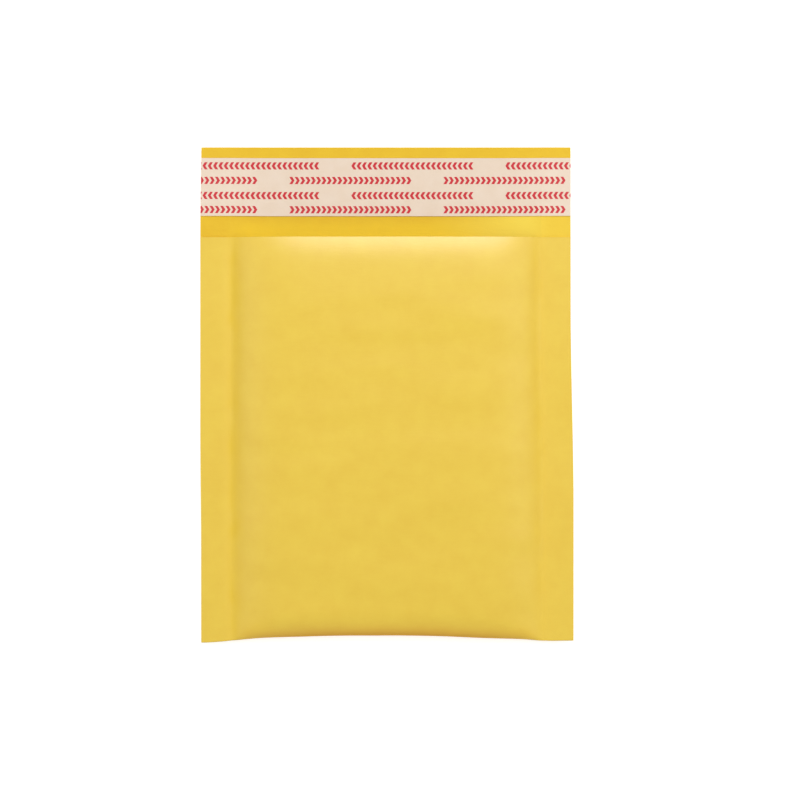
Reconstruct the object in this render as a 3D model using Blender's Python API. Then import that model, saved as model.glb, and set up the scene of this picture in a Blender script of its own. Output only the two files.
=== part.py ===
"""Padded mailing envelope: kraft paper outside, bubble film inside, and a self-seal flap left open.

It lies on its back. +Z is up, +Y runs from the bottom fold to the flap, and the origin is under
the middle of the envelope, on the surface that it rests on. Sizes are in metres.

Each piece is cut as a flat blank and then folded, as the real one is. On a blank, x runs across
the envelope, y runs along the web from the front panel's mouth edge, over the bottom fold and up
the back panel to the end of the flap, and z is the depth into the envelope, measured from the
outside of the paper.
"""

import functools
import math

import bmesh
import bpy
import numpy as np

# The envelope's outline, laid flat.
WIDTH = 0.180
PANEL_LENGTH = 0.1965
FLAP_LENGTH = 0.0435
SEAL_WIDTH = 0.016

# The webs, from the outside in.
PAPER = 0.0002
GAP = 0.0003
FILM = 0.00025
BUBBLE_HEIGHT = 0.0026
BUBBLE_PITCH = 0.012
BUBBLE_SHOULDER = 0.0021
BUBBLE_SQUEEZE = 0.42
FILM_SETBACK = 0.0012

# The swollen pocket: the free space between the two layers of bubbles, and how the panels curve.
POCKET_GAP = 0.0066
MOUTH_GAP = 0.0046
FOLD_GAP = 0.0042
SWELL_POWER = 6.0
MOUTH_RUN = 0.042
MOUTH_POWER = 2.5
LIP_DROOP = 0.0008
LIP_RUN = 0.013
CROWN_FROM_FOLD = 0.105
PINCH_POWER = 4.2
PINCH_RUN = 0.045
FOLD_REACH_FRONT = 0.016
FOLD_REACH_BACK = 0.012
FOLD_POWER = 2.2
FOLD_RUN = 0.015

# How it rests: the flat of its back, the height of the side seals, and the flap's free edge.
FLAT_BACK = 0.072
SEAL_LIFT = 0.003
LIFT_POWER = 3.0
FLAP_LIFT = 0.0024
FLAP_POWER = 1.6

# The closure on the flap.
TAPE_WIDTH = 0.0285
TAPE_MARGIN = 0.005
TAPE = 0.00012
GLUE_WIDTH = 0.0225
GLUE = 0.0002

# Worked out from the sizes above.
WEB_LENGTH = 2 * PANEL_LENGTH + FLAP_LENGTH
Y_FOLD = -(PANEL_LENGTH + FLAP_LENGTH) / 2
Y_MOUTH = Y_FOLD + PANEL_LENGTH
HALF_POCKET = WIDTH / 2 - SEAL_WIDTH
FILM_DEPTH = PAPER + GAP
HALF_SEAL = FILM_DEPTH + FILM
SEAL_TOP = SEAL_LIFT + 2 * HALF_SEAL
LINED_PANEL = HALF_SEAL + BUBBLE_HEIGHT
ROUND_FOLD_DRAW = math.pi / 4 - 1 / 2
ROW_PITCH = BUBBLE_PITCH * math.sqrt(3) / 2
BUBBLE_ROWS = int((PANEL_LENGTH - FOLD_RUN - FILM_SETBACK) / ROW_PITCH)
BUBBLE_COLUMNS = int(2 * HALF_POCKET / BUBBLE_PITCH)
TAPE_START = WEB_LENGTH - TAPE_MARGIN - TAPE_WIDTH
TAPE_DEPTH = PAPER + GAP + GLUE + GAP
GLUE_START = TAPE_START + (TAPE_WIDTH - GLUE_WIDTH) / 2

# Facets along the curved panels: lines counted from the fold and from the side seals, where the
# panels curve most, and a margin inside the seals where they run at every half bubble. Points
# nearer than ON_LINE lie on a cut, and folded points nearer than MEETING are one. WHOLE_BASE
# tells the base of a whole bubble from the part bases at the ends of a row, as a share of a pitch.
RUN_POINTS = 240
FOLD_LINES = (0.0012, 0.0027, 0.0047, 0.0073, 0.0107)
SEAL_LINES = (0.0, 0.005, 0.011)
FINE_MARGIN = 0.030
SMOOTH_UNDER = math.radians(40)
ON_LINE = 1e-7
MEETING = 1e-5
WHOLE_BASE = 0.8


def swell(x, y):
    """The share of its full thickness that the pocket has: 0 on a side seal, 1 in the middle.

    It rises more slowly by the bottom fold, whose corners pinch the pocket.
    """
    from_seal = max(0.0, 1 - abs(x) / HALF_POCKET)
    pinch = (1 - np.clip((y - Y_FOLD) / PINCH_RUN, 0, 1)) ** 2
    return 1 - (1 - from_seal) ** (SWELL_POWER - (SWELL_POWER - PINCH_POWER) * pinch)


def back_height(x):
    """The underside of the back panel: flat in the middle, curling up to the side seals."""
    half_flat = FLAT_BACK / 2
    off_flat = max(0.0, min(abs(x), HALF_POCKET) - half_flat) / (HALF_POCKET - half_flat)
    return SEAL_LIFT * off_flat**LIFT_POWER


def free_gap(y):
    """The space between the two layers of bubbles, in the middle of the pocket."""
    to_mouth = np.clip((Y_MOUTH - y) / MOUTH_RUN, 0, 1)
    to_lip = np.clip((Y_MOUTH - y) / LIP_RUN, 0, 1)
    to_crown = np.clip((y - Y_FOLD) / CROWN_FROM_FOLD, 0, 1)
    mouth_drop = (POCKET_GAP - MOUTH_GAP) * (1 - to_mouth) ** MOUTH_POWER
    lip_drop = LIP_DROOP * (1 - to_lip) ** MOUTH_POWER
    fold_drop = (POCKET_GAP - FOLD_GAP) * (1 - to_crown) ** 2
    return POCKET_GAP - mouth_drop - lip_drop - fold_drop


def front_height(x, y):
    """The top of the front panel, before the bottom fold rounds it off."""
    full = 2 * LINED_PANEL + free_gap(y)
    return SEAL_TOP + (full - SEAL_TOP) * swell(x, y)


def fold_quarter(x, reach):
    """Half of the rounded bottom fold: distances in from its edge, and the share of its height."""
    reach = HALF_SEAL + (reach - HALF_SEAL) * swell(x, Y_FOLD)
    turn = np.linspace(0, math.pi / 2, RUN_POINTS)
    return reach * (1 - np.cos(turn) ** (2 / FOLD_POWER)), np.sin(turn) ** (2 / FOLD_POWER)


@functools.lru_cache(maxsize=None)
def web_outline(x):
    """The outside of the paper at x: distance along the flat web, y, z, and the way in."""
    back = back_height(x)
    fold_thickness = front_height(x, Y_FOLD) - back
    y_edge = Y_FOLD + ROUND_FOLD_DRAW * (fold_thickness - 2 * HALF_SEAL)
    z_edge = back + fold_thickness / 2

    front_in, front_share = fold_quarter(x, FOLD_REACH_FRONT)
    front_y = y_edge + front_in
    front_z = z_edge + (front_height(x, front_y) - z_edge) * front_share
    panel_y = np.linspace(Y_MOUTH, front_y[-1], RUN_POINTS)[:-1]
    front = np.column_stack([
        np.concatenate([panel_y, front_y[::-1]]),
        np.concatenate([front_height(x, panel_y), front_z[::-1]]),
    ])

    back_in, back_share = fold_quarter(x, FOLD_REACH_BACK)
    back_y = y_edge + back_in
    flat_y = np.linspace(back_y[-1], Y_MOUTH, RUN_POINTS)[1:]
    rear = np.column_stack([
        np.concatenate([back_y, flat_y]),
        np.concatenate([z_edge + (back - z_edge) * back_share, np.full(len(flat_y), back)]),
    ])

    out = np.linspace(0, 1, RUN_POINTS)
    flap = np.column_stack([
        Y_MOUTH + FLAP_LENGTH * out,
        back + (FLAP_LIFT - back) * out**FLAP_POWER,
    ])

    lengths, points, start = [], [], 0.0
    for run, flat_length in ((front, PANEL_LENGTH), (rear, PANEL_LENGTH), (flap, FLAP_LENGTH)):
        steps = np.hypot(*np.diff(run, axis=0).T)
        travelled = np.concatenate([[0], np.cumsum(steps)])
        first = 0 if start == 0 else 1
        lengths.append((start + flat_length * travelled / travelled[-1])[first:])
        points.append(run[first:])
        start += flat_length
    points = np.concatenate(points)
    along = np.gradient(points, axis=0)
    along /= np.hypot(*along.T)[:, None]
    return np.concatenate(lengths), points[:, 0], points[:, 1], -along[:, 1], along[:, 0]


def folded(x, along, depth):
    """Where a point of a flat blank lies once the blank is folded."""
    lengths, y, z, in_y, in_z = web_outline(round(x, 7))
    way_in = np.array([np.interp(along, lengths, in_y), np.interp(along, lengths, in_z)])
    way_in /= np.hypot(*way_in)
    return (
        x,
        np.interp(along, lengths, y) + depth * way_in[0],
        np.interp(along, lengths, z) + depth * way_in[1],
    )


def bubble_height(x, along):
    """A bubble's height at a point of the blank: full, or squeezed where the panels come together."""
    across = min(along, 2 * PANEL_LENGTH - along)
    y = Y_MOUTH - across
    room = front_height(x, y) - back_height(x) - 2 * HALF_SEAL
    return min(BUBBLE_HEIGHT, BUBBLE_SQUEEZE * room)


def bubble_row_lines():
    """The lines between the rows of bubbles on the front panel, from the mouth to the fold."""
    last = PANEL_LENGTH - FOLD_RUN
    return [last - row * ROW_PITCH for row in range(BUBBLE_ROWS, -1, -1)]


def bubble_column_lines():
    """Lines at every half bubble across the pocket."""
    half = BUBBLE_PITCH / 2
    return [half * step for step in range(-BUBBLE_COLUMNS, BUBBLE_COLUMNS + 1)]


def across_lines():
    """Facet lines across the web: close together by the seals, where the panels curve most."""
    lines = []
    for line in bubble_column_lines():
        between_bubbles = round(2 * line / BUBBLE_PITCH) % 2 == 0
        if between_bubbles or HALF_POCKET - abs(line) < FINE_MARGIN:
            lines.append(line)
    for step in SEAL_LINES:
        lines += [step - HALF_POCKET, HALF_POCKET - step]
    return lines


def panel_lines():
    """Facet lines along the two panels, the same on both so that the seals match."""
    rows = bubble_row_lines()
    front = rows[:3] + rows[3::2] + rows[-1:]
    front += [PANEL_LENGTH - step for step in FOLD_LINES] + [PANEL_LENGTH]
    return sorted(set(front) | {2 * PANEL_LENGTH - line for line in front})


def flap_lines():
    """Facet lines along the flap, with the closure's edges among them."""
    return [
        2 * PANEL_LENGTH,
        (2 * PANEL_LENGTH + TAPE_START) / 2,
        TAPE_START,
        GLUE_START,
        TAPE_START + TAPE_WIDTH / 2,
        GLUE_START + GLUE_WIDTH,
        TAPE_START + TAPE_WIDTH,
    ]


def cut_lines(bm, axis, lines, faces=None):
    """Cuts a blank, or only some of its faces, along lines square to one of its axes."""
    normal = [0.0, 0.0, 0.0]
    normal[axis] = 1.0
    for line in lines:
        chosen = faces(bm) if faces else bm.faces[:]
        edges = {edge for face in chosen for edge in face.edges}
        corners = {corner for face in chosen for corner in face.verts}
        point = [line * part for part in normal]
        bmesh.ops.bisect_plane(
            bm, geom=[*corners, *edges, *chosen], dist=ON_LINE, plane_co=point, plane_no=normal
        )


def flat_blank(width, start, length, depth, thickness):
    """A flat sheet with square edges, before any line is cut in it."""
    bm = bmesh.new()
    bmesh.ops.create_cube(bm, size=1)
    bmesh.ops.scale(bm, vec=(width, length, thickness), verts=bm.verts)
    bmesh.ops.translate(bm, vec=(0, start + length / 2, depth + thickness / 2), verts=bm.verts)
    return bm


def faceted_blank(width, start, length, depth, thickness, lines):
    """A flat sheet with the facet lines cut in it, ready to fold."""
    bm = flat_blank(width, start, length, depth, thickness)
    cut_lines(bm, 0, across_lines())
    cut_lines(bm, 1, [line for line in lines if start < line < start + length])
    return bm


def fold(bm):
    """Folds a blank: each of its points goes to its place on the envelope, and those that meet join."""
    many_sided = [face for face in bm.faces if len(face.verts) > 4]
    bmesh.ops.triangulate(bm, faces=many_sided)
    for vert in bm.verts:
        vert.co = folded(*vert.co)
    bmesh.ops.remove_doubles(bm, verts=bm.verts, dist=MEETING)
    bmesh.ops.triangulate(bm, faces=bm.faces, quad_method="SHORT_EDGE")


def finished(bm, name, material):
    """Makes a named object of a folded blank."""
    bm.normal_update()
    mesh = bpy.data.meshes.new(name)
    bm.to_mesh(mesh)
    bm.free()
    mesh.materials.append(material)
    mesh.shade_smooth()
    mesh.set_sharp_from_angle(angle=SMOOTH_UNDER)
    made = bpy.data.objects.new(name, mesh)
    bpy.context.scene.collection.objects.link(made)
    return made


def surface(name, colour, roughness, transmission=0.0):
    """A plain material of one colour."""
    material = bpy.data.materials.new(name)
    material.use_nodes = True
    shader = material.node_tree.nodes["Principled BSDF"]
    shader.inputs["Base Color"].default_value = (*colour, 1)
    shader.inputs["Roughness"].default_value = roughness
    shader.inputs["Metallic"].default_value = 0.0
    shader.inputs["Transmission Weight"].default_value = transmission
    return material


def kraft_outer():
    """The paper: one sheet for the front panel, the bottom fold, the back panel and the flap."""
    bm = faceted_blank(WIDTH, 0, WEB_LENGTH, 0, PAPER, panel_lines() + flap_lines())
    fold(bm)
    return finished(bm, "kraft_outer", surface("golden kraft paper", (0.84, 0.56, 0.06), 0.55))


def pocket_side(bm):
    """The faces of a film blank that look into the pocket."""
    inside = HALF_SEAL - FILM / 4
    return [f for f in bm.faces if all(v.co.z > inside for v in f.verts)]


def bubble_cells(bm):
    """The faces of the pocket side that the bubbles stand on, on both panels."""
    rows = bubble_row_lines()
    half_width = bubble_column_lines()[-1]

    def in_field(face):
        middle = face.calc_center_median()
        across = min(middle.y, 2 * PANEL_LENGTH - middle.y)
        return abs(middle.x) < half_width and rows[0] < across < rows[-1]

    return [face for face in pocket_side(bm) if in_field(face)]


def bubble_grid_place(vert):
    """A grid point's column and row in the field of bubbles, on the panel that it lies on."""
    across = min(vert.co.y, 2 * PANEL_LENGTH - vert.co.y)
    column = round(vert.co.x / (BUBBLE_PITCH / 2)) + BUBBLE_COLUMNS
    row = round((across - bubble_row_lines()[0]) / ROW_PITCH)
    return column, row


def make_bubble_bases(bm):
    """Turns the field's grid into a honeycomb, with one six-sided base for each bubble."""
    inner_edges = []
    for edge in {e for face in bubble_cells(bm) for e in face.edges}:
        a, b = edge.verts
        runs_across = abs(a.co.x - b.co.x) > abs(a.co.y - b.co.y)
        if runs_across:
            continue
        column, row = min(bubble_grid_place(a), bubble_grid_place(b))
        if (column + row) % 2 and 0 < column < 2 * BUBBLE_COLUMNS:
            inner_edges.append(edge)
    bmesh.ops.dissolve_edges(bm, edges=inner_edges, use_verts=False)

    for vert in {v for face in bubble_cells(bm) for v in face.verts}:
        column, row = bubble_grid_place(vert)
        if not (0 < row < BUBBLE_ROWS and 0 < column < 2 * BUBBLE_COLUMNS):
            continue
        towards_fold = 1 if vert.co.y < PANEL_LENGTH else -1
        zigzag = 1 if (column + row) % 2 == 0 else -1
        vert.co.y += towards_fold * zigzag * ROW_PITCH / 6


def raise_bubbles(bm):
    """Draws each whole base up into a bubble with sloping sides and a flat top."""
    whole = WHOLE_BASE * BUBBLE_PITCH * ROW_PITCH
    bases = [face for face in bubble_cells(bm) if face.calc_area() > whole]
    bmesh.ops.inset_individual(bm, faces=bases, thickness=BUBBLE_SHOULDER, use_even_offset=True)
    for face in bases:
        for vert in face.verts:
            vert.co.z = HALF_SEAL + bubble_height(vert.co.x, vert.co.y)


def weld_seals(bm):
    """Opens the film's inner faces along both seals, so that the two panels melt into one there."""
    melted = [f for f in pocket_side(bm) if abs(f.calc_center_median().x) > HALF_POCKET]
    bmesh.ops.delete(bm, geom=melted, context="FACES")


def bubble_liner():
    """The bubble film: one web, folded at the bottom and welded to itself along the side seals."""
    bm = faceted_blank(
        WIDTH, FILM_SETBACK, 2 * (PANEL_LENGTH - FILM_SETBACK), FILM_DEPTH, FILM, panel_lines()
    )
    rows = bubble_row_lines()
    cut_lines(bm, 1, rows + [2 * PANEL_LENGTH - row for row in rows], pocket_side)
    cut_lines(bm, 0, bubble_column_lines(), bubble_cells)
    make_bubble_bases(bm)
    raise_bubbles(bm)
    weld_seals(bm)
    fold(bm)
    return finished(bm, "bubble_liner", surface("clear bubble film", (0.82, 0.85, 0.86), 0.2, 0.6))


def adhesive_strip():
    """The band of glue across the flap."""
    bm = faceted_blank(WIDTH, GLUE_START, GLUE_WIDTH, PAPER + GAP, GLUE, flap_lines())
    fold(bm)
    return finished(bm, "adhesive_strip", surface("hot-melt adhesive", (0.80, 0.72, 0.50), 0.25))


def release_liner():
    """The peel-off paper strip that covers the glue."""
    bm = faceted_blank(WIDTH, TAPE_START, TAPE_WIDTH, TAPE_DEPTH, TAPE, flap_lines())
    fold(bm)
    return finished(bm, "release_liner", surface("silicone release paper", (0.86, 0.72, 0.60), 0.35))


def main():
    for old in list(bpy.data.objects):
        bpy.data.objects.remove(old, do_unlink=True)
    kraft_outer()
    bubble_liner()
    adhesive_strip()
    release_liner()


main()
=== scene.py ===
"""A padded mailing envelope, lying on its back on a white table with its flap open."""

import functools
import math

import bmesh
import bpy
import numpy as np
from mathutils import Matrix, Vector, noise


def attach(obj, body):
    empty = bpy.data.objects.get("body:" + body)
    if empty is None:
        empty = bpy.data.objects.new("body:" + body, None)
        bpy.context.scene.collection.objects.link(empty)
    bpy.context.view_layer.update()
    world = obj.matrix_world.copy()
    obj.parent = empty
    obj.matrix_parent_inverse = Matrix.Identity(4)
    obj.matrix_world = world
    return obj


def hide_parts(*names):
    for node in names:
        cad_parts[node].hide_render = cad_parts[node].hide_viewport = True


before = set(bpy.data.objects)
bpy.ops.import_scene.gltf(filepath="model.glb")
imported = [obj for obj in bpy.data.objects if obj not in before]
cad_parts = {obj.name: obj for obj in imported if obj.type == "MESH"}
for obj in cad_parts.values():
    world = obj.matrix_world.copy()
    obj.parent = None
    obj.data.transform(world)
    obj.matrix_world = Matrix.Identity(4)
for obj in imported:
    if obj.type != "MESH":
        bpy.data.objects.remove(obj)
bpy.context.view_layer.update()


# Kraft outer. One sheet of golden kraft paper makes the front panel, the bottom fold, the back
# panel and the flap. It is pressed flat along both sides, where the film inside it is welded,
# and swells between them over the bubbles.
WIDTH = 0.180
PANEL = 0.1965
FLAP = 0.0435
SEAL = 0.0145
PAPER = 0.0002
HALF_WELD = 0.00048
HALF_POCKET = WIDTH / 2 - SEAL
Y_FOLD = -(PANEL + FLAP) / 2
Y_MOUTH = Y_FOLD + PANEL

# The pocket swells from a soft start at its seals, and soon has its full thickness. It does so
# more slowly near the bottom fold, which pinches it.
SWELL_POWER = 6.0
SOFT_START = 0.0014
PINCH_POWER = 1.8
PINCH_RUN = 0.045


def swell(x, y):
    """The share of its full thickness that the pocket has: 0 on a side seal, 1 in the middle."""
    from_seal = max(0.0, 1 - abs(x) / HALF_POCKET)
    from_seal = from_seal**3 / (from_seal**2 + SOFT_START)
    pinch = (1 - np.clip((y - Y_FOLD) / PINCH_RUN, 0, 1)) ** 2
    return 1 - (1 - from_seal) ** (SWELL_POWER - PINCH_POWER * pinch)


SEAL_LIFT = 0.003
HALF_FLAT_BACK = 0.036


def back_height(x):
    """The underside of the back panel: flat in the middle, curling up to the side seals."""
    off_flat = max(0.0, min(abs(x), HALF_POCKET) - HALF_FLAT_BACK)
    return SEAL_LIFT * (off_flat / (HALF_POCKET - HALF_FLAT_BACK)) ** 3


# The gap between the lined panels, and how much less it is at the mouth, at the lip and at the
# bottom fold.
SEAL_TOP = SEAL_LIFT + 2 * HALF_WELD
LINED_PANEL = 0.00335
POCKET_GAP = 0.0066
MOUTH_DROP = 0.0020
MOUTH_RUN = 0.042
LIP_DROP = 0.0008
LIP_RUN = 0.013
DROP_POWER = 2.5
FOLD_DROP = 0.0024
FOLD_RUN = 0.105


def front_height(x, y):
    """The top of the front panel, before the bottom fold rounds it off."""
    from_mouth = np.clip((Y_MOUTH - y) / MOUTH_RUN, 0, 1)
    from_lip = np.clip((Y_MOUTH - y) / LIP_RUN, 0, 1)
    from_fold = np.clip((y - Y_FOLD) / FOLD_RUN, 0, 1)
    gap = POCKET_GAP - MOUTH_DROP * (1 - from_mouth) ** DROP_POWER
    gap -= LIP_DROP * (1 - from_lip) ** DROP_POWER
    gap -= FOLD_DROP * (1 - from_fold) ** 2
    return SEAL_TOP + (2 * LINED_PANEL + gap - SEAL_TOP) * swell(x, y)


# The rounded bottom fold draws the edge in by ROUND_DRAW of the pocket's thickness. The flap
# rises slightly to its free edge.
ROUND_DRAW = math.pi / 4 - 1 / 2
ROUND_POWER = 2.2
ROUND_REACH_FRONT = 0.0145
ROUND_REACH_BACK = 0.012
FLAP_LIFT = 0.0024
FLAP_POWER = 1.6
RUN_POINTS = 300


@functools.lru_cache(maxsize=None)
def web_outline(x):
    """The outside of the paper at x: distance along the flat sheet, y, z, and the way in."""
    back = back_height(x)
    thick = front_height(x, Y_FOLD) - back
    y_edge = Y_FOLD + ROUND_DRAW * (thick - 2 * HALF_WELD)
    z_edge = back + thick / 2
    turn = np.linspace(0, math.pi / 2, RUN_POINTS)
    share_in = 1 - np.cos(turn) ** (2 / ROUND_POWER)
    share_up = np.sin(turn) ** (2 / ROUND_POWER)
    fullness = swell(x, Y_FOLD)

    round_y = y_edge + (HALF_WELD + (ROUND_REACH_FRONT - HALF_WELD) * fullness) * share_in
    round_z = z_edge + (front_height(x, round_y) - z_edge) * share_up
    rest_y = np.linspace(Y_MOUTH, round_y[-1], RUN_POINTS)[:-1]
    front_y = np.append(rest_y, round_y[::-1])
    front_z = np.append(front_height(x, rest_y), round_z[::-1])

    round_y = y_edge + (HALF_WELD + (ROUND_REACH_BACK - HALF_WELD) * fullness) * share_in
    round_z = z_edge + (back - z_edge) * share_up
    rest_y = np.linspace(round_y[-1], Y_MOUTH, RUN_POINTS)[1:]
    back_y = np.append(round_y, rest_y)
    back_z = np.append(round_z, np.full(len(rest_y), back))

    out = np.linspace(0, 1, RUN_POINTS)
    flap_y = Y_MOUTH + FLAP * out
    flap_z = back + (FLAP_LIFT - back) * out**FLAP_POWER

    runs = ((PANEL, front_y, front_z), (PANEL, back_y, back_z), (FLAP, flap_y, flap_z))
    along, ys, zs, start = [], [], [], 0.0
    for length, y, z in runs:
        travelled = np.append(0, np.cumsum(np.hypot(np.diff(y), np.diff(z))))
        keep = slice(0 if start == 0 else 1, None)
        along.append((start + length * travelled / travelled[-1])[keep])
        ys.append(y[keep])
        zs.append(z[keep])
        start += length
    along, ys, zs = (np.concatenate(part) for part in (along, ys, zs))
    dy, dz = np.gradient(ys), np.gradient(zs)
    size = np.hypot(dy, dz)
    return along, ys, zs, -dz / size, dy / size


def smooth_step(value, low, high):
    """0 below low, 1 above high, and a smooth rise between them."""
    t = min(1.0, max(0.0, (value - low) / (high - low)))
    return t * t * (3 - 2 * t)


# Creases in the paper, with their height, their size across and along the sheet, and their place
# in the noise. Gathers fade inwards from the seals. The back panel is pressed on the table, so
# its creases are lower and lie inside its smooth form.
BROAD_CREASES = (0.00032, 0.050, 0.016, 3.1)
FINE_CREASES = (0.00009, 0.021, 0.0065, 8.4)
GATHERS = (0.00040, 0.060, 0.010, 5.7)
GATHER_SHIFT = 0.300
GATHER_REACH = 0.018
CREASE_MARGIN = 0.010
SMOOTH_AT_MOUTH = 0.004
CREASED_FROM_MOUTH = 0.050
BACK_CREASE_SHARE = 0.5
BACK_INSET = 0.00022
GROOVE_DEPTH = 0.00020
GROOVE_WIDTH = 0.0022
GROOVE_START = 0.012


def soft_noise(x, along, height, across_size, along_size, place):
    """Smooth random rises and dips of one height and size."""
    return height * noise.noise(Vector((x / across_size, along / along_size, place)))


def relief(x, along):
    """How far the paper stands out from its smooth form: creases and the pressed seal edge."""
    inside = HALF_POCKET - abs(x)
    from_mouth = min(along, 2 * PANEL - along)
    groove = -GROOVE_DEPTH * math.exp(-((inside / GROOVE_WIDTH) ** 2))
    groove *= smooth_step(from_mouth, 0.0, GROOVE_START)
    if inside < 0 or from_mouth < 0:
        return groove
    settled = smooth_step(inside, 0.0, CREASE_MARGIN)
    settled *= smooth_step(from_mouth, SMOOTH_AT_MOUTH, CREASED_FROM_MOUTH)
    waves = soft_noise(x, along, *BROAD_CREASES) + soft_noise(x, along, *FINE_CREASES)
    waves += soft_noise(x + GATHER_SHIFT, along, *GATHERS) * math.exp(-inside / GATHER_REACH)
    if along > PANEL:
        waves = BACK_CREASE_SHARE * waves - BACK_INSET
    return groove + settled * waves


EDGE_WAVE = 0.0005
EDGE_WAVE_LENGTH = 0.032
EDGE_WAVE_INSIDE = 0.004
RIGHT_EDGE_PLACE = 4.0
LEFT_EDGE_PLACE = 11.0
EDGE_NOISE_LEVEL = 1.3


def edge_wave(x, y):
    """The slight rise and fall of each side edge along its length."""
    in_seal = smooth_step(abs(x), HALF_POCKET - EDGE_WAVE_INSIDE, WIDTH / 2)
    side = RIGHT_EDGE_PLACE if x > 0 else LEFT_EDGE_PLACE
    place = Vector((side, y / EDGE_WAVE_LENGTH, EDGE_NOISE_LEVEL))
    return EDGE_WAVE * in_seal * noise.noise(place)


# The envelope was not made quite square. Its bottom fold lies a little up from a straight line,
# least at the left corner and at two dips, each with a depth and a place. Its side edges are cut
# in on the right and out on the left, by a share of x.
FOLD_RISE = 0.00145
LEFT_CORNER_DROP = 0.0010
LEFT_CORNER_START = 0.072
FOLD_DIPS = ((0.0005, -0.045), (0.0010, 0.050))
FOLD_DIP_WIDTH = 0.020
FOLD_BOW = 0.00025
RIGHT_CUT_IN = 0.0156
RIGHT_CUT_RUN = (-0.055, 0.045)
LEFT_CUT_OUT = 0.0047
LEFT_CUT_RUN = (-0.080, -0.015)
LEFT_CUT_END = (0.080, 0.120)


def fold_rise(x):
    """How far up the bottom fold lies from a straight line."""
    rise = FOLD_RISE - LEFT_CORNER_DROP * smooth_step(-x, LEFT_CORNER_START, WIDTH / 2)
    for depth, place in FOLD_DIPS:
        rise -= depth * math.exp(-(((x - place) / FOLD_DIP_WIDTH) ** 2))
    return rise - FOLD_BOW * max(0.0, 1 - (x / HALF_POCKET) ** 2)


def cut_askew(x, y):
    """The share of x by which a side edge is off at y."""
    if x > 0:
        return -RIGHT_CUT_IN * smooth_step(y, *RIGHT_CUT_RUN)
    return LEFT_CUT_OUT * smooth_step(y, *LEFT_CUT_RUN) * (1 - smooth_step(y, *LEFT_CUT_END))


def fold(bm):
    """Folds a flat blank: x across, y along from the mouth, z the depth into the envelope."""
    columns = {}
    for vert in bm.verts:
        columns.setdefault(round(vert.co.x, 6), []).append(vert)
    for x, verts in columns.items():
        lengths, y, z, in_y, in_z = web_outline(x)
        along = np.array([v.co.y for v in verts])
        depth = np.array([v.co.z for v in verts])
        stands_out = np.array([relief(x, a) for a in along])
        depth = depth - stands_out * np.clip(1 - depth / HALF_WELD, 0, 1)
        way_y, way_z = np.interp(along, lengths, in_y), np.interp(along, lengths, in_z)
        size = np.hypot(way_y, way_z)
        new_y = np.interp(along, lengths, y) + depth * way_y / size
        new_z = np.interp(along, lengths, z) + depth * way_z / size
        for vert, vy, vz in zip(verts, new_y, new_z):
            rise = fold_rise(x) * max(0.0, (Y_MOUTH - vy) / PANEL)
            vert.co = (x * (1 + cut_askew(x, vy)), vy + rise, vz + edge_wave(x, vy))


# The sheets are cut from flat blanks, whose columns all lie at the same x, so that no sheet
# comes through another. More cuts are made near the bottom fold, where the web turns sharply.
PAPER_STEP = 0.0015
ON_CUT = 1e-7
FOLD_CUTS = (0.0, 0.00025, 0.0005, 0.0008, 0.0012, 0.0021)


def web_blank(start, length, depth, thickness, row_step):
    """A flat closed sheet, whose side towards the goods is material 1."""
    bm = bmesh.new()
    columns, rows = round(WIDTH / PAPER_STEP), round(length / row_step)
    bmesh.ops.create_grid(bm, x_segments=columns, y_segments=rows, size=0.5)
    bmesh.ops.scale(bm, vec=(WIDTH, length, 1), verts=bm.verts)
    bmesh.ops.translate(bm, vec=(0, start + length / 2, depth), verts=bm.verts)
    outside = set(bm.verts)
    bmesh.ops.solidify(bm, geom=bm.faces[:], thickness=thickness)
    for vert in bm.verts:
        vert.co.z = depth if vert in outside else depth + thickness
    for face in bm.faces:
        face.material_index = int(not all(v in outside for v in face.verts))
    bmesh.ops.recalc_face_normals(bm, faces=bm.faces)
    return bm


def cut_lines(bm, axis, lines):
    """Cuts a blank along lines square to one of its axes."""
    square = Vector((0.0, 0.0, 0.0))
    square[axis] = 1.0
    for line in lines:
        near = [
            f for f in bm.faces if abs(f.calc_center_median()[axis] - line) < 2 * PAPER_STEP
        ]
        geom = {part for f in near for part in (*f.verts, *f.edges)} | set(near)
        bmesh.ops.bisect_plane(
            bm, geom=list(geom), dist=ON_CUT, plane_co=square * line, plane_no=square
        )


def cut_seals_and_fold(bm):
    """Cuts a blank of both panels along the seals' inner edges and near the bottom fold."""
    cut_lines(bm, 0, [-HALF_POCKET, HALF_POCKET])
    cut_lines(bm, 1, [PANEL + sign * line for line in FOLD_CUTS for sign in (1, -1)])


def piece(name, bm, materials, sharp_over=50):
    """Makes an object of a bmesh, with its materials and its smooth and sharp edges."""
    for face in bm.faces:
        face.material_index = min(face.material_index, len(materials) - 1)
    mesh = bpy.data.meshes.new(name)
    bm.to_mesh(mesh)
    bm.free()
    for material in materials:
        mesh.materials.append(material)
    mesh.shade_smooth()
    mesh.set_sharp_from_angle(angle=math.radians(sharp_over))
    made = bpy.data.objects.new(name, mesh)
    bpy.context.scene.collection.objects.link(made)
    return made


def linear(hex_colour):
    """The linear colour of an sRGB hex value."""
    parts = [int(hex_colour[i : i + 2], 16) / 255 for i in (1, 3, 5)]
    return (*[c / 12.92 if c <= 0.04045 else ((c + 0.055) / 1.055) ** 2.4 for c in parts], 1.0)


def add(tree, kind, inputs=(), links=(), **settings):
    """Adds a node with its settings, its input values and its links."""
    made = tree.nodes.new("ShaderNode" + kind)
    for name, value in settings.items():
        setattr(made, name, value)
    for name, value in dict(inputs).items():
        made.inputs[name].default_value = value
    for name, source in dict(links).items():
        tree.links.new(source, made.inputs[name])
    return made


def new_material(name):
    """An empty material and its node tree."""
    material = bpy.data.materials.new(name)
    material.use_nodes = True
    material.node_tree.nodes.clear()
    return material, material.node_tree


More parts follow.
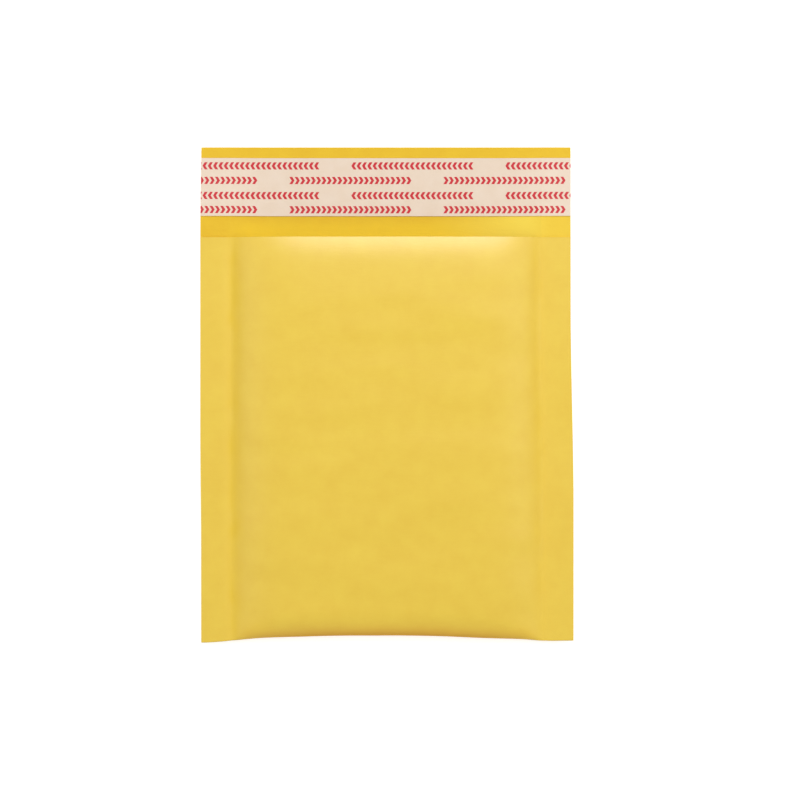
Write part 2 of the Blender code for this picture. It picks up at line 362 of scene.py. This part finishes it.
# Painted light and shade on the paper: painted shade along the bottom fold, and in patches in the
# valleys just inside the welds, more on the left, away from the light; painted light on the flap at
# the mouth, most of all behind the lip, where its shade falls; and a painted sheen on the flap's
# right part.
FOLD_SHADE = 0.85
FOLD_SHADE_REACH = 0.0055
WELD_SHADE_RIGHT = 0.3
WELD_SHADE_LEFT = 0.5
WELD_SHADE_INSET = 0.0010
WELD_SHADE_REACH = 0.0034
WELD_SHADE_BLOTCHES = (0.8, 0.004, 0.009, 2.6)
MOUTH_LIGHT_FROM_LEFT = (-0.078, -0.066)
MOUTH_LIGHT_TO_RIGHT = (0.058, 0.074)
MOUTH_LIGHT_UP_FLAP = (0.003, 0.010)
MOUTH_LIGHT = 0.55
MOUTH_LIGHT_BEHIND_LIP = 0.35
LIP_SHADE_REACH = 0.0035
CORNER_SHEEN_FROM_LEFT = (0.015, 0.075)
LESS_SHEEN_AT_EDGE = 0.55
CORNER_SHEEN_EDGE = (0.066, 0.082)
CORNER_SHEEN_UP_FLAP = (0.010, 0.016)


def mark_painted_light_and_shade(bm):
    """Marks how much painted light or shade each point of a flat kraft blank gets, for the paper's
    tones to follow.
    """
    fold_painted_shade = bm.verts.layers.float.new("fold_painted_shade")
    weld_painted_shade = bm.verts.layers.float.new("weld_painted_shade")
    mouth_painted_light = bm.verts.layers.float.new("mouth_painted_light")
    corner_painted_sheen = bm.verts.layers.float.new("corner_painted_sheen")
    for vert in bm.verts:
        x, along = vert.co.x, vert.co.y
        # Painted shade along the bottom fold, where the paper turns under and away from the light.
        from_fold = (along - PANEL) / FOLD_SHADE_REACH
        vert[fold_painted_shade] = FOLD_SHADE * math.exp(-(from_fold**2)) * float(swell(x, Y_FOLD))

        # Painted shade in the valleys just inside the welds, in patches, stronger on the left, away
        # from the light.
        from_weld = (abs(x) - HALF_POCKET + WELD_SHADE_INSET) / WELD_SHADE_REACH
        blotch = 1 + soft_noise(x, along, *WELD_SHADE_BLOTCHES)
        side = WELD_SHADE_RIGHT if x > 0 else WELD_SHADE_LEFT
        vert[weld_painted_shade] = side * blotch * math.exp(-(from_weld**2))

        # Painted light on the flap near the mouth, strongest behind the lip, where the lip's shade
        # falls.
        on_flap = along - 2 * PANEL
        mouth_lit = smooth_step(x, *MOUTH_LIGHT_FROM_LEFT) * (1 - smooth_step(x, *MOUTH_LIGHT_TO_RIGHT))
        mouth_lit *= 1 - smooth_step(on_flap, *MOUTH_LIGHT_UP_FLAP)
        behind_lip = (1 - smooth_step(on_flap, 0.0, LIP_SHADE_REACH)) * float(swell(x, Y_MOUTH))
        vert[mouth_painted_light] = mouth_lit * (MOUTH_LIGHT + MOUTH_LIGHT_BEHIND_LIP * behind_lip)

        # A painted sheen on the flap's right part near the mouth, less towards its right edge.
        corner_lit = smooth_step(x, *CORNER_SHEEN_FROM_LEFT) * (1 - smooth_step(on_flap, *CORNER_SHEEN_UP_FLAP))
        vert[corner_painted_sheen] = corner_lit * (1 - LESS_SHEEN_AT_EDGE * smooth_step(x, *CORNER_SHEEN_EDGE))


# Kraft paper is clouded in patches of about 9 mm, where its fibres lie closer. The fibres and the
# fine tooth are drawn several times coarser than real ones, so that they show. The names of a
# Mix node's colour sockets are shared with its other kinds, so they go by number.
CLOUD = 0.009
FIBRE_LENGTH = 0.0060
FIBRE_WIDTH = 0.0009
TOOTH = 0.0006
TOOTH_HEIGHT = 0.00006
TOOTH_SHARE = 0.6
FIBRE_SHARE = 0.3
SHADE_SPAN = (0.27, 1.03)
MARKED_ROUGHNESS = 1.0
MIX_A, MIX_B, MIX_RESULT = 6, 7, 2


def kraft_paper(name, light, deep, painted_tones, roughness, specular, grain):
    """Kraft paper: cloudy fibre formation, long fibres, a fine tooth, and painted light and shade
    in marked places, which are rougher.
    """
    material, tree = new_material(name)
    place = add(tree, "TexCoord").outputs["Object"]
    cloud = add(
        tree,
        "TexNoise",
        {"Scale": 1 / CLOUD, "Detail": 3.0, "Roughness": 0.55},
        {"Vector": place},
    )
    stretched = add(
        tree,
        "Mapping",
        {"Scale": (1 / FIBRE_LENGTH, 1 / FIBRE_WIDTH, 1 / FIBRE_WIDTH)},
        {"Vector": place},
    )
    fibre = add(
        tree,
        "TexNoise",
        {"Scale": 1.0, "Detail": 4.0, "Roughness": 0.6},
        {"Vector": stretched.outputs[0]},
    )
    tooth = add(tree, "TexNoise", {"Scale": 1 / TOOTH, "Detail": 2.0}, {"Vector": place})
    mixed = add(
        tree,
        "Math",
        {1: FIBRE_SHARE},
        {0: fibre.outputs[0], 2: cloud.outputs[0]},
        operation="MULTIPLY_ADD",
    )
    shade = add(
        tree,
        "MapRange",
        {"From Min": SHADE_SPAN[0], "From Max": SHADE_SPAN[1]},
        {0: mixed.outputs[0]},
    )
    colour = add(
        tree,
        "Mix",
        {MIX_A: linear(deep), MIX_B: linear(light)},
        {0: shade.outputs[0]},
        data_type="RGBA",
    )
    marked_most = None
    for where, tone in painted_tones.items():
        marked = add(tree, "Attribute", attribute_name=where).outputs["Fac"]
        colour = add(
            tree,
            "Mix",
            {MIX_B: linear(tone)},
            {0: marked, MIX_A: colour.outputs[MIX_RESULT]},
            data_type="RGBA",
        )
        if marked_most is not None:
            marked = add(tree, "Math", links={0: marked, 1: marked_most}, operation="MAXIMUM").outputs[0]
        marked_most = marked
    dulled = add(
        tree, "MapRange", {"To Min": roughness, "To Max": MARKED_ROUGHNESS}, {0: marked_most}
    )
    height = add(
        tree,
        "Math",
        {1: TOOTH_SHARE},
        {0: tooth.outputs[0], 2: fibre.outputs[0]},
        operation="MULTIPLY_ADD",
    )
    bump = add(
        tree,
        "Bump",
        {"Strength": grain, "Distance": TOOTH_HEIGHT},
        {"Height": height.outputs[0]},
    )
    shader = add(
        tree,
        "BsdfPrincipled",
        {"Specular IOR Level": specular},
        {
            "Base Color": colour.outputs[MIX_RESULT],
            "Roughness": dulled.outputs[0],
            "Normal": bump.outputs[0],
        },
    )
    add(tree, "OutputMaterial", links={"Surface": shader.outputs[0]})
    return material


# The glazed side is pressed on a hot drum, which leaves it smooth with a low sheen. It has painted
# shade along the bottom fold and in the valleys just inside the welds, and is duller there. The
# other side, which shows on the flap, stays rougher and deeper in colour, and has painted light at
# the mouth and a painted sheen on its right part.
glazed_kraft = kraft_paper(
    name="machine-glazed golden kraft paper",
    light="#e8c62e",
    deep="#e2bb1f",
    painted_tones={"fold_painted_shade": "#dd9a0c", "weld_painted_shade": "#e6c02a"},
    roughness=0.385,
    specular=0.95,
    grain=0.5,
)
matt_kraft = kraft_paper(
    name="golden kraft paper, matt side",
    light="#eac12a",
    deep="#e4b624",
    painted_tones={"mouth_painted_light": "#ffd838", "corner_painted_sheen": "#f8da54"},
    roughness=0.7,
    specular=0.35,
    grain=0.9,
)

blank = web_blank(0, 2 * PANEL + FLAP, 0, PAPER, PAPER_STEP)
cut_seals_and_fold(blank)
mark_painted_light_and_shade(blank)
fold(blank)
kraft_outer = piece("kraft_sheet", blank, [glazed_kraft, matt_kraft])
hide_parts("kraft_outer")
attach(kraft_outer, "root")


# Bubble liner. A clear polyethylene web with round air bubbles is laminated to the inside of the
# paper, bubbles inwards, folded with it, and heat-welded to itself along both side seals.
FILM_SETBACK = 0.0001
FILM_DEPTH = 0.00022
FILM_STEP = 0.003
BUBBLE_RADIUS = 0.0050
BUBBLE_SIDES = 14
BUBBLE_PITCH = 0.012
BUBBLE_HEIGHT = 0.0028
BUBBLE_SQUEEZE = 0.44
BUBBLES_IN_ROW = 12
ROW_PITCH = BUBBLE_PITCH * math.sqrt(3) / 2
BUBBLE_ROWS = 17
BARE_AT_FOLD = 0.015
FIRST_ROW = PANEL - BARE_AT_FOLD - (BUBBLE_ROWS - 0.5) * ROW_PITCH
BUBBLE_RINGS = ((0.98, 0.45), (0.92, 0.76), (0.76, 0.94), (0.46, 1.0))
SAME_SPOT = 1e-6
MEETING = 1e-5


def bubble_template():
    """One bubble of unit height: a drawn cup with a round shoulder and a flattened top."""
    bm = bmesh.new()
    bmesh.ops.create_circle(bm, cap_ends=True, radius=BUBBLE_RADIUS, segments=BUBBLE_SIDES)
    bm.normal_update()
    bm.faces.ensure_lookup_table()
    top = bm.faces[0]
    floor = bmesh.ops.duplicate(bm, geom=[top])["geom"]
    floor_faces = [part for part in floor if isinstance(part, bmesh.types.BMFace)]
    bmesh.ops.reverse_faces(bm, faces=floor_faces)
    for share, height in BUBBLE_RINGS:
        top = bmesh.ops.extrude_discrete_faces(bm, faces=[top])["faces"][0]
        for vert in top.verts:
            outwards = Vector((vert.co.x, vert.co.y, 0)).normalized()
            vert.co = outwards * BUBBLE_RADIUS * share + Vector((0, 0, height))
    bmesh.ops.poke(bm, faces=[top])
    bmesh.ops.remove_doubles(bm, verts=bm.verts, dist=SAME_SPOT)
    bmesh.ops.recalc_face_normals(bm, faces=bm.faces)
    mesh = bpy.data.meshes.new("bubble template")
    bm.to_mesh(mesh)
    bm.free()
    return mesh


def place_bubbles(bm):
    """Sets the bubbles out in staggered rows on both panels, lower where there is less room."""
    template = bubble_template()
    for row in range(BUBBLE_ROWS):
        from_mouth = FIRST_ROW + row * ROW_PITCH
        count = BUBBLES_IN_ROW - row % 2
        for column in range(count):
            x = (column - (count - 1) / 2) * BUBBLE_PITCH
            room = front_height(x, Y_MOUTH - from_mouth) - back_height(x) - 2 * HALF_WELD
            height = min(BUBBLE_HEIGHT, BUBBLE_SQUEEZE * float(room))
            for along in (from_mouth, 2 * PANEL - from_mouth):
                to_place = Matrix.Translation((x, along, HALF_WELD))
                placed = template.copy()
                placed.transform(to_place @ Matrix.Diagonal((1, 1, height, 1)))
                bm.from_mesh(placed)
                bpy.data.meshes.remove(placed)
    bpy.data.meshes.remove(template)


film_web = web_blank(
    FILM_SETBACK, 2 * (PANEL - FILM_SETBACK), FILM_DEPTH, HALF_WELD - FILM_DEPTH, FILM_STEP
)
cut_seals_and_fold(film_web)

# In the welds the two layers have become one, so their inner faces are left out.
in_weld = [
    face
    for face in film_web.faces
    if abs(face.calc_center_median().x) > HALF_POCKET
    and all(vert.co.z > HALF_WELD - SAME_SPOT for vert in face.verts)
]
bmesh.ops.delete(film_web, geom=in_weld, context="FACES")
place_bubbles(film_web)
fold(film_web)
bmesh.ops.remove_doubles(film_web, verts=film_web.verts, dist=MEETING)

# The film is clear but hazy. Its colour is a painted gold, which stands in for the paper's light in
# the pocket's shade. It is seen most where it turns away from the eye, on the bubbles' shoulders,
# and they catch the light.
bubble_film, tree = new_material("low-density polyethylene bubble film")
turned = add(tree, "LayerWeight", {"Blend": 0.35})
cover = add(tree, "MapRange", {"To Min": 0.20, "To Max": 0.85}, {0: turned.outputs["Facing"]})
shader = add(
    tree,
    "BsdfPrincipled",
    {"Base Color": linear("#fbdf88"), "Roughness": 0.12, "Specular IOR Level": 1.0},
    {"Alpha": cover.outputs[0]},
)
add(tree, "OutputMaterial", links={"Surface": shader.outputs[0]})
bubble_liner = piece("bubble_film", film_web, [bubble_film], sharp_over=80)
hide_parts("bubble_liner")
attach(bubble_liner, "root")


# Adhesive strip. A band of hot-melt glue runs the whole width of the flap, under the release
# strip. It is rolled on hot and sets glossy and pale amber, with a slight ripple.
TAPE = 0.0280
TAPE_MARGIN = 0.0052
GLUE = 0.0225
GLUE_START = 2 * PANEL + FLAP - TAPE_MARGIN - (TAPE + GLUE) / 2
GLUE_DEPTH = PAPER + 0.00003
GLUE_THICKNESS = 0.00022
RIPPLE = 0.003

glue_web = web_blank(GLUE_START, GLUE, GLUE_DEPTH, GLUE_THICKNESS, PAPER_STEP)
fold(glue_web)
hot_melt, tree = new_material("hot-melt adhesive")
place = add(tree, "TexCoord").outputs["Object"]
ripple = add(tree, "TexNoise", {"Scale": 1 / RIPPLE}, {"Vector": place})
bump = add(tree, "Bump", {"Strength": 0.4, "Distance": 0.0002}, {"Height": ripple.outputs[0]})
shader = add(
    tree,
    "BsdfPrincipled",
    {"Base Color": linear("#e3cf9a"), "Roughness": 0.22},
    {"Normal": bump.outputs[0]},
)
add(tree, "OutputMaterial", links={"Surface": shader.outputs[0]})
adhesive_strip = piece("adhesive_band", glue_web, [hot_melt])
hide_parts("adhesive_strip")
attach(adhesive_strip, "root")


# Release liner. A strip of siliconed paper covers the glue until the envelope is closed. It is
# printed with rows of red arrowheads, which point left and right in turn.
TAPE_START = 2 * PANEL + FLAP - TAPE_MARGIN - TAPE
TAPE_DEPTH = 0.00050
TAPE_THICKNESS = 0.00012

tape_web = web_blank(TAPE_START, TAPE, TAPE_DEPTH, TAPE_THICKNESS, PAPER_STEP)
fold(tape_web)

# The arrowheads are slanting strokes, mirrored at each row's middle. They are counted from some
# groups left of the middle one, so that no count on the strip is below zero.
ROW_PLACES = (0.11103, 0.10400, 0.09670, 0.08990)
MARK_HEIGHT = 0.0035
MARK_PITCH = 0.00257
MARK_LEAN = 0.62
STROKE_SHARE = 0.55
MARKS_IN_GROUP = 23
MARKS_TO_NEXT_GROUP = 29
GROUP_CENTRES = (0.0121, -0.0168)
GROUPS_LEFT = 4
STOCK_CLOUD = 0.006

# The stock is cream and faintly clouded, and its silicone gives it an even, soft sheen.
release_paper, tree = new_material("siliconed release paper")
place = add(tree, "TexCoord").outputs["Object"]
axes = add(tree, "SeparateXYZ", links={0: place})
ink = None
for number, row_y in enumerate(ROW_PLACES):
    off_row = add(tree, "Math", {1: row_y}, {0: axes.outputs["Y"]}, operation="SUBTRACT")
    height = add(tree, "Math", links={0: off_row.outputs[0]}, operation="ABSOLUTE")
    in_row = add(
        tree, "Math", {1: MARK_HEIGHT / 2}, {0: height.outputs[0]}, operation="LESS_THAN"
    )
    leant = add(
        tree,
        "Math",
        {1: MARK_LEAN if number % 2 else -MARK_LEAN},
        {0: height.outputs[0], 2: axes.outputs["X"]},
        operation="MULTIPLY_ADD",
    )
    marks_before = MARKS_IN_GROUP / 2 + GROUPS_LEFT * MARKS_TO_NEXT_GROUP
    start = GROUP_CENTRES[number % 2] - MARK_PITCH * marks_before
    from_start = add(tree, "Math", {1: start}, {0: leant.outputs[0]}, operation="SUBTRACT")
    mark = add(tree, "Math", {1: MARK_PITCH}, {0: from_start.outputs[0]}, operation="DIVIDE")
    part = add(tree, "Math", links={0: mark.outputs[0]}, operation="FRACT")
    stroke = add(tree, "Math", {1: STROKE_SHARE}, {0: part.outputs[0]}, operation="LESS_THAN")
    place_in_row = add(
        tree, "Math", {1: MARKS_TO_NEXT_GROUP}, {0: mark.outputs[0]}, operation="MODULO"
    )
    in_group = add(
        tree, "Math", {1: MARKS_IN_GROUP}, {0: place_in_row.outputs[0]}, operation="LESS_THAN"
    )
    drawn = stroke
    for limit in (in_row, in_group):
        drawn = add(
            tree, "Math", links={0: drawn.outputs[0], 1: limit.outputs[0]}, operation="MULTIPLY"
        )
    if ink is not None:
        drawn = add(tree, "Math", links={0: drawn.outputs[0], 1: ink}, operation="MAXIMUM")
    ink = drawn.outputs[0]
cloud = add(tree, "TexNoise", {"Scale": 1 / STOCK_CLOUD, "Detail": 3.0}, {"Vector": place})
stock = add(
    tree,
    "Mix",
    {MIX_A: linear("#e3ccb3"), MIX_B: linear("#ecdac8")},
    {0: cloud.outputs[0]},
    data_type="RGBA",
)
printed = add(
    tree,
    "Mix",
    {MIX_B: linear("#c8232f")},
    {0: ink, MIX_A: stock.outputs[MIX_RESULT]},
    data_type="RGBA",
)
shader = add(
    tree, "BsdfPrincipled", {"Roughness": 0.42}, {"Base Color": printed.outputs[MIX_RESULT]}
)
add(tree, "OutputMaterial", links={"Surface": shader.outputs[0]})
release_liner = piece("release_strip", tape_web, [release_paper])
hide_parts("release_liner")
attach(release_liner, "root")


# Table. A white matt board far larger than the view. The camera sees it as plain white, with the
# envelope's own soft shadow on it.
HALF_TABLE = 3.0
UNDER_ENVELOPE = 0.00005
TABLE_GLOW = 0.55

board = bmesh.new()
bmesh.ops.create_grid(board, x_segments=1, y_segments=1, size=HALF_TABLE)
white_board, tree = new_material("white matt board")


def seen_directly(tree):
    """1 for a ray from the camera, or one mirrored or let through by a surface, else 0."""
    path = add(tree, "LightPath")
    seen = path.outputs["Is Camera Ray"]
    for other in ("Is Glossy Ray", "Is Transmission Ray"):
        either = add(tree, "Math", links={0: seen, 1: path.outputs[other]}, operation="MAXIMUM")
        seen = either.outputs[0]
    return seen


matt = add(tree, "BsdfDiffuse", {"Color": linear("#f4f4f4")})
glow = add(tree, "Emission", {"Color": linear("#ffffff"), "Strength": TABLE_GLOW})
both = add(tree, "AddShader", links={0: matt.outputs[0], 1: glow.outputs[0]})
chosen = add(
    tree, "MixShader", links={0: seen_directly(tree), 1: matt.outputs[0], 2: both.outputs[0]}
)
add(tree, "OutputMaterial", links={"Surface": chosen.outputs[0]})
table = piece("table", board, [white_board])
table.location.z = -UNDER_ENVELOPE


# Light: an even white room, a broad soft box above the flap, and a weaker one on each side, which
# give the swollen sides their sheen. Each box has its place, its size and its power in watts.
ROOM_STRENGTH = 0.56
SOFT_BOXES = {
    "soft box over the flap": ((0.18, 0.85, 1.30), (0.9, 0.36), 9.9),
    "soft box on the right": ((1.15, 0.45, 1.15), (1.2, 1.2), 3.9),
    "soft box on the left": ((-1.15, 0.30, 1.15), (1.2, 1.2), 2.5),
}

world = bpy.data.worlds.new("white room")
bpy.context.scene.world = world
world.use_nodes = True
tree = world.node_tree
strength = add(tree, "MapRange", {"To Min": ROOM_STRENGTH, "To Max": 1.0}, {0: seen_directly(tree)})
background = tree.nodes["Background"]
background.inputs["Color"].default_value = linear("#ffffff")
tree.links.new(strength.outputs[0], background.inputs["Strength"])

for box_name, (box_place, box_size, watts) in SOFT_BOXES.items():
    lamp = bpy.data.lights.new(box_name, "AREA")
    lamp.shape = "RECTANGLE"
    lamp.size, lamp.size_y = box_size
    lamp.energy = watts
    soft_box = bpy.data.objects.new(box_name, lamp)
    soft_box.location = box_place
    soft_box.rotation_euler = (-Vector(box_place)).to_track_quat("-Z", "Y").to_euler()
    bpy.context.scene.collection.objects.link(soft_box)

# Camera: a long lens straight above, with the envelope a little left of and above the middle.
FIELD = 0.3875
CAMERA_PLACE = (0.0061, -0.0022, 1.8)

lens = bpy.data.cameras.new("camera")
lens.sensor_width = 36.0
lens.lens = lens.sensor_width * CAMERA_PLACE[2] / FIELD
camera = bpy.data.objects.new("camera", lens)
camera.location = CAMERA_PLACE
bpy.context.scene.collection.objects.link(camera)
bpy.context.scene.camera = camera
bpy.context.scene.view_settings.view_transform = "Standard"
